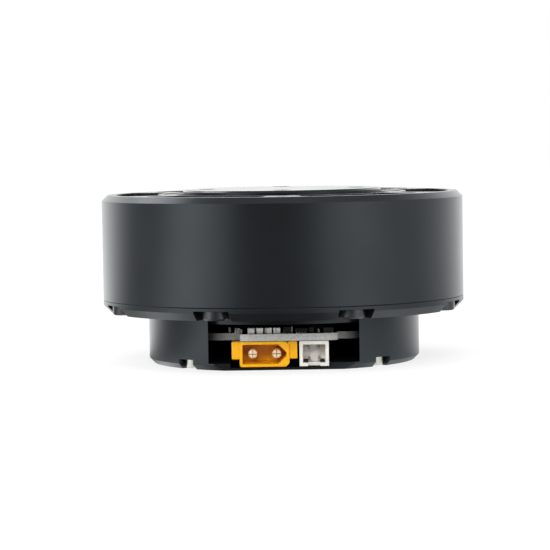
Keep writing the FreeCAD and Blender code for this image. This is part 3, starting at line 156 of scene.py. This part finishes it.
finishes = {
    "anodised_black": dict(dark=(0.046, 0.052, 0.057), light=(0.054, 0.061, 0.067),
                           metal=0.86, roughness=(0.27, 0.33), toneScale=60, grainScale=5200,
                           bump=0.2),
    "anodised_cap": dict(dark=(0.043, 0.049, 0.054), light=(0.051, 0.058, 0.064), metal=0.86,
                         roughness=(0.30, 0.37), toneScale=60, grainScale=5200, bump=0.25),
    "anodised_cover": dict(dark=(0.044, 0.050, 0.055), light=(0.052, 0.059, 0.065),
                           metal=0.86, roughness=(0.29, 0.36), toneScale=60,
                           grainScale=5200, bump=0.25),
    "anodised_flange": dict(dark=(0.050, 0.056, 0.061), light=(0.060, 0.067, 0.073),
                            metal=0.86, roughness=(0.20, 0.27), toneScale=60,
                            grainScale=5200, bump=0.15, edge=0.05),
    "black_oxide": dict(dark=(0.065, 0.070, 0.075), light=(0.10, 0.106, 0.11), metal=0.86,
                        roughness=(0.28, 0.40), toneScale=300),
    "zinc_steel": dict(dark=(0.50, 0.51, 0.46), light=(0.70, 0.71, 0.65), metal=1.0,
                       roughness=(0.24, 0.38), toneScale=300),
    "carrier_steel": dict(dark=(0.42, 0.42, 0.43), light=(0.55, 0.55, 0.56), metal=1.0,
                          roughness=(0.25, 0.4), toneScale=200),
    "gear_steel": dict(dark=(0.36, 0.36, 0.37), light=(0.5, 0.5, 0.51), metal=1.0,
                       roughness=(0.25, 0.38), toneScale=250),
    "bearing_steel": dict(dark=(0.50, 0.50, 0.51), light=(0.62, 0.62, 0.63), metal=1.0,
                          roughness=(0.14, 0.22), toneScale=200),
    "bronze": dict(dark=(0.42, 0.27, 0.11), light=(0.55, 0.37, 0.17), metal=1.0,
                   roughness=(0.35, 0.5), toneScale=600),
    "lamination": dict(dark=(0.20, 0.21, 0.22), light=(0.36, 0.37, 0.39), metal=1.0,
                       roughness=(0.35, 0.5), toneScale=1200, stretch=(0.05, 0.05, 4)),
    "copper_winding": dict(dark=(0.30, 0.10, 0.03), light=(0.52, 0.22, 0.07), metal=0.6,
                           roughness=(0.25, 0.4), toneScale=900, stretch=(1, 1, 0.15),
                           bump=0.6),
    "magnet_nickel": dict(dark=(0.52, 0.51, 0.49), light=(0.64, 0.63, 0.61), metal=1.0,
                          roughness=(0.15, 0.25)),
    "rotor_iron": dict(dark=(0.22, 0.22, 0.23), light=(0.32, 0.32, 0.33), metal=1.0,
                       roughness=(0.3, 0.45)),
    "chip_black": dict(dark=(0.010, 0.010, 0.011), light=(0.020, 0.020, 0.021),
                       roughness=(0.35, 0.55), toneScale=900),
    "can_aluminium": dict(dark=(0.6, 0.6, 0.61), light=(0.72, 0.72, 0.73), metal=1.0,
                          roughness=(0.25, 0.35)),
    "connector_amber": dict(dark=(0.97, 0.44, 0.004), light=(1.0, 0.52, 0.010),
                            roughness=(0.20, 0.32), toneScale=500, grainScale=3000, bump=0.1,
                            edge=0.06, specular=0.35),
    "connector_white": dict(dark=(0.84, 0.80, 0.74), light=(0.92, 0.89, 0.84),
                            roughness=(0.3, 0.42), toneScale=500, grainScale=3000, bump=0.1,
                            edge=0.06),
    "gold_contact": dict(dark=(0.92, 0.74, 0.44), light=(1.0, 0.90, 0.66), metal=0.1,
                         roughness=(0.16, 0.3), toneScale=900, edge=0.05),
    "tin_contact": dict(dark=(0.50, 0.49, 0.46), light=(0.66, 0.65, 0.61), metal=0.78,
                        roughness=(0.22, 0.34), toneScale=900, edge=0.05),
    "lead_insulation": dict(dark=(0.014, 0.014, 0.015), light=(0.022, 0.022, 0.024),
                            roughness=(0.4, 0.55)),
}
materials = {name: makeFinish(name, look) for name, look in finishes.items()}


# dark solder mask on the faces that point up or down, and pale glass fibre on the edges, darkened
# towards the sides by a painted shade from the cover wall; the dark specks are the points nearest
# to a Voronoi cell's centre
def makeBoard():
    look = {"mask": (0.012, 0.018, 0.016), "edgeDark": (0.50, 0.51, 0.49),
            "edgeLight": (0.70, 0.71, 0.69), "speck": (0.10, 0.10, 0.09), "speckSize": 0.16,
            "speckScale": 1500, "speckFade": 0.7, "fibreScale": 1200, "fibreStretch": (1, 1, 4),
            "maskFrom": 0.6, "maskTo": 0.8, "roughness": (0.35, 0.6),
            "shoulderShadeTone": (0.025, 0.028, 0.026), "shoulder": (9.5, 15.5)}
    material, tree, shader = startMaterial("board")
    points = objectPoints(tree)
    normal = addNode(tree, "ShaderNodeTexCoord").outputs["Normal"]
    upness = addNode(tree, "ShaderNodeSeparateXYZ", links={"Vector": normal}).outputs["Z"]
    flat = addNode(tree, "ShaderNodeMath", {"operation": "ABSOLUTE"}, {0: upness})
    fibre = noiseOf(tree, objectPoints(tree, look["fibreStretch"]), look["fibreScale"], 4)
    edge = blended(tree, ranged(tree, fibre, 0, 1), look["edgeDark"], look["edgeLight"])
    cells = addNode(tree, "ShaderNodeTexVoronoi", {"Scale": look["speckScale"]},
                    {"Vector": points}).outputs["Distance"]
    size = look["speckSize"]
    speck = ranged(tree, cells, 1, 0, size * look["speckFade"], size)
    edge = blended(tree, speck, edge, look["speck"])
    across = addNode(tree, "ShaderNodeSeparateXYZ", links={"Vector": points}).outputs["X"]
    outward = addNode(tree, "ShaderNodeMath", {"operation": "ABSOLUTE"}, {0: across})
    # painted shade: between these distances from the turning axis the fibre edge fades to a dark
    # tone standing in for the cover wall's shadow
    start, end = [place * mm for place in look["shoulder"]]
    edge = blended(tree, ranged(tree, outward.outputs[0], 0, 1, start, end), edge,
                   look["shoulderShadeTone"])
    mask = ranged(tree, flat.outputs[0], 0, 1, look["maskFrom"], look["maskTo"])
    tree.links.new(blended(tree, mask, edge, look["mask"]), shader.inputs["Base Color"])
    tree.links.new(ranged(tree, fibre, *look["roughness"]), shader.inputs["Roughness"])
    return material


# chip capacitors: a pale grained tone, with darker patches where a broad noise is high
def makeCeramic():
    look = {"dull": (0.76, 0.76, 0.73), "end": (0.97, 0.97, 0.94), "body": (0.34, 0.31, 0.27),
            "grainScale": 1800, "patchScale": 900, "patchStretch": (1, 0.4, 0.4),
            "patchRange": (0.52, 0.60), "patchShare": 0.8, "roughness": (0.25, 0.5)}
    material, tree, shader = startMaterial("chip_pale")
    points = objectPoints(tree)
    grain = noiseOf(tree, points, look["grainScale"], 4)
    tone = blended(tree, ranged(tree, grain, 0, 1), look["dull"], look["end"])
    patch = noiseOf(tree, objectPoints(tree, look["patchStretch"]), look["patchScale"], 1)
    body = ranged(tree, patch, 0, look["patchShare"], *look["patchRange"])
    tree.links.new(blended(tree, body, tone, look["body"]), shader.inputs["Base Color"])
    tree.links.new(ranged(tree, grain, *look["roughness"]), shader.inputs["Roughness"])
    return material


materials["board"] = makeBoard()
materials["chip_pale"] = makeCeramic()

slotOfNode = {part["node"]: part["material_slot"] for part in frame["record"]["subparts"]}
for nodeName, nodeObject in frame["nodes"].items():
    for slot in nodeObject.material_slots:
        slot.material = materials[slotOfNode[nodeName]]
print("materials made:", len(materials))


# surfaces worked out from two parameters

# one closed mesh from patches, each a grid of rings by columns of points: point (r, c) is joined
# to (r, c+1), (r+1, c+1) and (r+1, c), columns wrap round, and the end rings shrink to a point
def joinPiece(name, slotName, patches, corner=35):
    vertices, faces, start = [], [], 0
    for rings in patches:
        count, around = rings.shape[:2]
        ring = np.arange(count - 1)[:, None] * around
        column = np.arange(around)[None, :]
        after = (column + 1) % around
        quads = np.stack([ring + column, ring + after, ring + around + after,
                          ring + around + column], axis=-1).reshape(-1, 4)
        vertices.append(rings.reshape(-1, 3))
        faces.append(quads + start)
        start += count * around
    vertices, faces = np.concatenate(vertices), np.concatenate(faces)
    mesh = bpy.data.meshes.new(name)
    mesh.from_pydata((vertices * mm).tolist(), [], faces.tolist())
    mesh.validate()
    work = bmesh.new()
    work.from_mesh(mesh)
    bmesh.ops.remove_doubles(work, verts=work.verts, dist=1e-7)
    bmesh.ops.recalc_face_normals(work, faces=work.faces)
    work.to_mesh(mesh)
    work.free()
    mesh.polygons.foreach_set("use_smooth", [True] * len(mesh.polygons))
    mesh.set_sharp_from_angle(angle=math.radians(corner))
    mesh.materials.append(materials[slotName])
    piece = bpy.data.objects.new(name, mesh)
    bpy.context.scene.collection.objects.link(piece)
    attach(piece, "motor_body")
    return piece


# a closed outline round a convex polygon, listed anticlockwise: point = centre + radius *
# (cos a, sin a), where the centre is the corner less radius * (n1 + n2) / (1 + n1.n2) and the
# angle a runs from the outward normal n1 of one side to n2 of the next
def roundedOutline(corners, radii, steps):
    corners, radii = np.array(corners, float), np.array(radii, float)
    ahead = np.roll(corners, -1, axis=0) - corners
    ahead /= np.linalg.norm(ahead, axis=1)[:, None]
    normal = np.stack([ahead[:, 1], -ahead[:, 0]], axis=1)
    before = np.roll(normal, 1, axis=0)
    bisector = (before + normal) / (1 + (before * normal).sum(axis=1))[:, None]
    centres = corners - bisector * radii[:, None]
    first = np.arctan2(before[:, 1], before[:, 0])
    turn = np.arctan2(before[:, 0] * normal[:, 1] - before[:, 1] * normal[:, 0],
                      (before * normal).sum(axis=1))
    share = np.linspace(0, 1, steps)[None, :]
    angle = first[:, None] + turn[:, None] * share
    arc = np.stack([np.cos(angle), np.sin(angle)], axis=-1) * radii[:, None, None]
    return (centres[:, None, :] + arc).reshape(-1, 2)


# the outline's two coordinates with a third put in: along y for an outline seen from the front,
# along z for one seen from above
def ringAt(outline, depth, axis):
    flat = np.full(len(outline), depth)
    order = (outline[:, 0], flat, outline[:, 1]) if axis == "y" else (
        outline[:, 0], outline[:, 1], flat)
    return np.stack(order, axis=1)


# point = middle + share * (point - middle), so a share of 0 is the middle itself
def shrunk(outline, share):
    centre = (outline.max(axis=0) + outline.min(axis=0)) / 2
    return centre + (outline - centre) * share


# the outline scaled about its middle by (half size - distance) / half size, across and up
def inset(outline, distance):
    half = (outline.max(axis=0) - outline.min(axis=0)) / 2
    centre = (outline.max(axis=0) + outline.min(axis=0)) / 2
    return centre + (outline - centre) * (1 - distance / half)


# a rounded block between two corners (x, y, z): the outline's corners have one radius, and its
# near and far edges are quarter circles, with inset edge * (1 - sin t) at depth edge * (1 - cos t)
def slab(low, high, radius, edge, axis="z", steps=5):
    low, high = np.array(low, float), np.array(high, float)
    keep = [0, 2] if axis == "y" else [0, 1]
    along = 1 if axis == "y" else 2
    (left, bottom), (right, top) = low[keep], high[keep]
    outline = roundedOutline([(left, bottom), (right, bottom), (right, top), (left, top)],
                             [radius] * 4, steps)
    turn = np.linspace(0, np.pi / 2, 4)
    inwards = edge * (1 - np.sin(turn))
    deep = edge * (1 - np.cos(turn))
    rings = [ringAt(shrunk(outline, 0), low[along], axis)]
    rings += [ringAt(inset(outline, i), low[along] + d, axis) for i, d in zip(inwards, deep)]
    rings += [ringAt(inset(outline, i), high[along] - d, axis)
              for i, d in zip(inwards[::-1], deep[::-1])]
    rings += [ringAt(shrunk(outline, 0), high[along], axis)]
    return np.array(rings)


# the node's low and high corners in millimetres
def boxOf(node):
    low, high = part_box(node)
    return np.array(low) / mm, np.array(high) / mm


# power connector: a shell swept from its back round the lip and down into the recess
powerLook = {"shellLeft": 1.70, "shellWidth": 10.62, "wall": 0.64, "outerCut": 0.75,
             "innerCut": 1.7, "outerRound": 0.55, "innerRound": 0.22, "lip": 0.16,
             "recess": 8.4, "earSetback": 0.6, "earDepth": 4.0, "earHeight": 3.75,
             "earRound": 0.18}
low, high = boxOf("power_connector_housing")
left = low[0] + powerLook["shellLeft"]
right = left + powerLook["shellWidth"]


def keyed(left, right, bottom, top, cut, radius):
    corners = [(left, bottom), (right - cut, bottom), (right, bottom + cut), (right, top - cut),
               (right - cut, top), (left, top)]
    return roundedOutline(corners, [radius] * 6, 7)


outer = keyed(left, right, low[2], high[2], powerLook["outerCut"], powerLook["outerRound"])
wall = powerLook["wall"]
inner = keyed(left + wall, right - wall, low[2] + wall, high[2] - wall, powerLook["innerCut"],
              powerLook["innerRound"])
turn = np.linspace(0, np.pi / 2, 5)
lip = powerLook["lip"]
rings = [ringAt(shrunk(outer, 0), high[1], "y"), ringAt(outer, high[1], "y")]
rings += [ringAt(inset(outer, lip * (1 - np.cos(t))), low[1] + lip * (1 - np.sin(t)), "y")
          for t in turn]
rings += [ringAt(inset(inner, -lip * (1 - np.sin(t))), low[1] + lip * (1 - np.cos(t)), "y")
          for t in turn]
rings += [ringAt(inner, low[1] + powerLook["recess"], "y"),
          ringAt(shrunk(inner, 0), low[1] + powerLook["recess"], "y")]
front = low[1] + powerLook["earSetback"]
back, bottom = front + powerLook["earDepth"], high[2] - powerLook["earHeight"]
ears = [slab((start, front, bottom), (end, back, high[2]), powerLook["earRound"],
             powerLook["earRound"], "y")
        for start, end in ((low[0], left + wall / 2), (right - wall / 2, high[0]))]
powerShell = joinPiece("powerShell", "connector_amber", [np.array(rings)])
powerEars = joinPiece("powerEars", "connector_amber", ears)
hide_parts("power_connector_housing")
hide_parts("power_connector_housing")
print("power connector made")


# signal connector: the two small openings at the foot of its recess, as dark slabs that paint the
# shade inside the holes
signalLook = {"width": 1.0, "height": 0.62, "lift": 0.75, "side": 0.85, "depth": 1.3}
low, high = boxOf("signal_connector_housing")
shadeInlays = []
for start in (low[0] + signalLook["side"], high[0] - signalLook["side"] - signalLook["width"]):
    corner = np.array((start, low[1] + signalLook["depth"], low[2] + signalLook["lift"]))
    size = np.array((signalLook["width"], signalLook["depth"], signalLook["height"]))
    shadeInlays.append(slab(corner, corner + size, 0.05, 0.03, "y"))
# painted shade: the chip_black finish here stands for the shadow inside the two openings, not for
# a dark part
joinPiece("signalOpeningShade", "chip_black", shadeInlays)

# small parts on the board, each as left edge, width, depth, height and setback of its front;
# lefts are measured from the turning axis, setbacks from the board's front edge
boardLook = {
    "dark": [(-0.15, 1.75, 1.2, 1.35, 0.9), (2.3, 2.7, 2.2, 1.0, 1.1), (5.3, 1.0, 1.0, 1.2, 1.0),
             (8.4, 2.1, 1.3, 1.15, 1.2), (-10.4, 1.6, 1.1, 0.9, 1.0), (6.8, 0.9, 0.8, 0.7, 2.2)],
    "tinned": [(1.6, 0.16, 1.0, 1.45, 0.8), (-0.95, 2.5, 0.3, 0.16, 0.75),
               (2.55, 0.24, 0.5, 0.28, 0.75), (3.15, 0.24, 0.5, 0.28, 0.75),
               (3.75, 0.24, 0.5, 0.28, 0.75), (4.35, 0.24, 0.5, 0.28, 0.75),
               (8.4, 2.1, 0.25, 0.14, 1.15), (-10.5, 0.35, 1.2, 1.25, 0.95),
               (-9.3, 0.35, 1.2, 1.05, 0.95), (7.2, 0.3, 0.4, 0.9, 1.0),
               (-11.9, 0.5, 0.5, 1.15, 4.6), (-9.95, 0.5, 0.4, 1.3, 0.9)],
    "round": 0.05,
}
boardLow, boardHigh = boxOf("driver_board")
for kind, slotName in (("dark", "chip_black"), ("tinned", "tin_contact")):
    patches = []
    for start, width, depth, height, setback in boardLook[kind]:
        corner = np.array((start, boardLow[1] + setback, boardHigh[2]))
        patches.append(slab(corner, corner + np.array((width, depth, height)),
                            boardLook["round"], boardLook["round"]))
    joinPiece(kind + "BoardParts", slotName, patches)

# chip capacitors: a rounded body with a tinned cap at either end
capacitorLook = {"count": 4, "cap": 0.42, "proud": 0.04, "round": 0.09}
low, high = boxOf("filter_capacitors")
side = high[1] - low[1]
step = (high[0] - low[0] - side) / (capacitorLook["count"] - 1)
bodies, caps = [], []
for index in range(capacitorLook["count"]):
    start = low[0] + index * step
    proud = capacitorLook["proud"]
    bodies.append(slab((start + proud, low[1] + proud, low[2]),
                       (start + side - proud, high[1] - proud, high[2] - proud),
                       capacitorLook["round"], capacitorLook["round"]))
    for end in (start, start + side - capacitorLook["cap"]):
        caps.append(slab((end, low[1], low[2]), (end + capacitorLook["cap"], high[1], high[2]),
                         capacitorLook["round"], capacitorLook["round"]))
capacitorBodies = joinPiece("capacitorBodies", "chip_pale", bodies)
capacitorCaps = joinPiece("capacitorCaps", "chip_pale", caps)
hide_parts("filter_capacitors")
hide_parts("filter_capacitors")
print("board parts made")


# floor, lights, surroundings and camera

# brightness of the room as mirrored surfaces see it, by azimuth from the front in degrees,
# with +X positive; the room is dim behind the camera and bright at the sides and behind
roomLevels = [(-180, 1.55), (-156, 1.8), (-136, 1.85), (-120, 1.15), (-106, 0.42), (-84, 0.46),
              (-58, 1.6), (-42, 1.0),
              (-24, 0.12), (0, 0.07), (14, 0.12), (30, 0.8), (44, 1.1), (64, 0.75), (86, 0.55),
              (106, 0.9), (130, 1.4), (155, 1.7), (180, 1.55)]


# the room's brightness in a direction: the angle atan2(x, -y), carried through a ramp
def levelByAzimuth(tree, direction):
    split = addNode(tree, "ShaderNodeSeparateXYZ", links={"Vector": direction}).outputs
    front = addNode(tree, "ShaderNodeMath", {"operation": "MULTIPLY", 1: -1.0}, {0: split["Y"]})
    angle = addNode(tree, "ShaderNodeMath", {"operation": "ARCTAN2"},
                    {0: split["X"], 1: front.outputs[0]})
    share = ranged(tree, angle.outputs[0], 0, 1, -math.pi, math.pi)
    ramp = addNode(tree, "ShaderNodeValToRGB", links={"Fac": share})
    ramp.color_ramp.interpolation = "EASE"
    elements = ramp.color_ramp.elements
    peak = max(level for angle, level in roomLevels)
    for index, (angle, level) in enumerate(roomLevels):
        place = angle / 360 + 0.5
        stop = elements[index] if index < 2 else elements.new(place)
        stop.position = place
        stop.color = (level / peak, level / peak, level / peak, 1)
    return addNode(tree, "ShaderNodeMath", {"operation": "MULTIPLY", 1: peak},
                   {0: ramp.outputs["Color"]}).outputs[0]


floorLook = {"halfSize": 4.0, "drop": 0.02, "tone": (0.94, 0.94, 0.94), "cameraShare": 0.70,
             "cameraGlow": 1.09, "roughness": 0.8, "specular": 0.1}
corner = floorLook["halfSize"]
floorMesh = bpy.data.meshes.new("floor")
floorMesh.from_pydata([(-corner, -corner, 0), (corner, -corner, 0), (corner, corner, 0),
                       (-corner, corner, 0)], [], [(0, 1, 2, 3)])
floorMesh.transform(Matrix.Translation((0, 0, frameBox[0][2] - floorLook["drop"] * mm)))
floor = bpy.data.objects.new("floor", floorMesh)
bpy.context.scene.collection.objects.link(floor)
floorMaterial, tree, shader = startMaterial("floorPale")
shader.inputs["Base Color"].default_value = (*floorLook["tone"], 1)
shader.inputs["Roughness"].default_value = floorLook["roughness"]
shader.inputs["Specular IOR Level"].default_value = floorLook["specular"]
path = addNode(tree, "ShaderNodeLightPath")
glow = addNode(tree, "ShaderNodeEmission",
               {"Color": (1, 1, 1, 1), "Strength": floorLook["cameraGlow"]})
share = addNode(tree, "ShaderNodeMath", {"operation": "MULTIPLY", 1: floorLook["cameraShare"]},
                {0: path.outputs["Is Camera Ray"]})
mixed = tree.nodes.new("ShaderNodeMixShader")
tree.links.new(share.outputs[0], mixed.inputs["Fac"])
tree.links.new(shader.outputs["BSDF"], mixed.inputs[1])
tree.links.new(glow.outputs["Emission"], mixed.inputs[2])
place = addNode(tree, "ShaderNodeTexCoord").outputs["Object"]
mirrored = addNode(tree, "ShaderNodeEmission", {"Color": (1, 1, 1, 1)},
                   {"Strength": levelByAzimuth(tree, place)})
seen = tree.nodes.new("ShaderNodeMixShader")
tree.links.new(path.outputs["Is Glossy Ray"], seen.inputs["Fac"])
tree.links.new(mixed.outputs[0], seen.inputs[1])
tree.links.new(mirrored.outputs[0], seen.inputs[2])
output = [n for n in tree.nodes if n.type == "OUTPUT_MATERIAL"][0]
tree.links.new(seen.outputs[0], output.inputs["Surface"])
floorMesh.materials.append(floorMaterial)

worldLook = {"diffuse": 0.85, "overhead": 0.35, "overheadFrom": 0.45, "overheadTo": 0.8}
world = bpy.data.worlds.new("studio")
bpy.context.scene.world = world
world.use_nodes = True
tree = world.node_tree
tree.nodes.clear()
path = addNode(tree, "ShaderNodeLightPath")
direction = addNode(tree, "ShaderNodeTexCoord").outputs["Generated"]
rise = addNode(tree, "ShaderNodeSeparateXYZ", links={"Vector": direction}).outputs["Z"]
overhead = ranged(tree, rise, 0, 1, worldLook["overheadFrom"], worldLook["overheadTo"])
level = addNode(tree, "ShaderNodeMix", {"data_type": "FLOAT"})
tree.links.new(overhead, level.inputs[0])
tree.links.new(levelByAzimuth(tree, direction), level.inputs[2])
level.inputs[3].default_value = worldLook["overhead"]
plain = addNode(tree, "ShaderNodeBackground", {"Color": (1, 1, 1, 1),
                                               "Strength": worldLook["diffuse"]})
mirrored = addNode(tree, "ShaderNodeBackground", {"Color": (1, 1, 1, 1)},
                   {"Strength": level.outputs[0]})
seen = addNode(tree, "ShaderNodeBackground", {"Color": (1, 1, 1, 1), "Strength": 1.0})
first = tree.nodes.new("ShaderNodeMixShader")
tree.links.new(path.outputs["Is Glossy Ray"], first.inputs["Fac"])
tree.links.new(plain.outputs[0], first.inputs[1])
tree.links.new(mirrored.outputs[0], first.inputs[2])
direct = addNode(tree, "ShaderNodeMath", {"operation": "MAXIMUM"},
                 {0: path.outputs["Is Camera Ray"], 1: path.outputs["Is Transmission Ray"]})
second = tree.nodes.new("ShaderNodeMixShader")
tree.links.new(direct.outputs[0], second.inputs["Fac"])
tree.links.new(first.outputs[0], second.inputs[1])
tree.links.new(seen.outputs[0], second.inputs[2])
worldOutput = tree.nodes.new("ShaderNodeOutputWorld")
tree.links.new(second.outputs[0], worldOutput.inputs["Surface"])

# softboxes: azimuth from the front (towards -X is negative), elevation, distance, size, radiance,
# and whether surfaces mirror it
softboxes = {
    "top": dict(azimuth=6, elevation=62, distance=1.2, width=0.9, height=0.5, radiance=1.5),
    "upperLeft": dict(azimuth=-125, elevation=46, distance=1.2, width=0.5, height=0.4,
                      radiance=3.5),
    "front": dict(azimuth=-8, elevation=24, distance=1.3, width=0.5, height=0.3, radiance=17,
                  mirrored=False),
}
middle = Vector((0, 0, (frameBox[0][2] + frameBox[1][2]) / 2))
for name, box in softboxes.items():
    light = bpy.data.lights.new(name, "AREA")
    light.shape = "RECTANGLE"
    light.size, light.size_y = box["width"], box["height"]
    light.energy = box["radiance"] * math.pi * box["width"] * box["height"]
    turn, rise = math.radians(box["azimuth"]), math.radians(box["elevation"])
    away = Vector((math.sin(turn) * math.cos(rise), -math.cos(turn) * math.cos(rise),
                   math.sin(rise)))
    lamp = bpy.data.objects.new(name, light)
    lamp.location = middle + away * box["distance"]
    lamp.rotation_euler = away.to_track_quat("Z", "Y").to_euler()
    lamp.visible_glossy = box.get("mirrored", True)
    bpy.context.scene.collection.objects.link(lamp)

cameraLook = {"distance": 563.35, "height": 51.3, "pitch": 3.306, "yaw": 0.186, "roll": 0.901,
              "lens": 165.87, "sensor": 36, "near": 0.01, "far": 20}
pitch, yaw, roll = [math.radians(cameraLook[k]) for k in ("pitch", "yaw", "roll")]
forward = Vector((-math.sin(yaw) * math.cos(pitch), math.cos(yaw) * math.cos(pitch),
                  -math.sin(pitch)))
level = Vector((math.cos(yaw), math.sin(yaw), 0))
up = level.cross(forward)
right = level * math.cos(roll) - up * math.sin(roll)
upright = level * math.sin(roll) + up * math.cos(roll)
cameraData = bpy.data.cameras.new("camera")
cameraData.lens = cameraLook["lens"]
cameraData.sensor_width = cameraLook["sensor"]
cameraData.clip_start, cameraData.clip_end = cameraLook["near"], cameraLook["far"]
camera = bpy.data.objects.new("camera", cameraData)
camera.matrix_world = Matrix((
    (right.x, upright.x, -forward.x, 0),
    (right.y, upright.y, -forward.y, -cameraLook["distance"] * mm),
    (right.z, upright.z, -forward.z, cameraLook["height"] * mm),
    (0, 0, 0, 1),
))
bpy.context.scene.collection.objects.link(camera)
bpy.context.scene.camera = camera
bpy.context.scene.view_settings.view_transform = "Standard"
print("stage set")
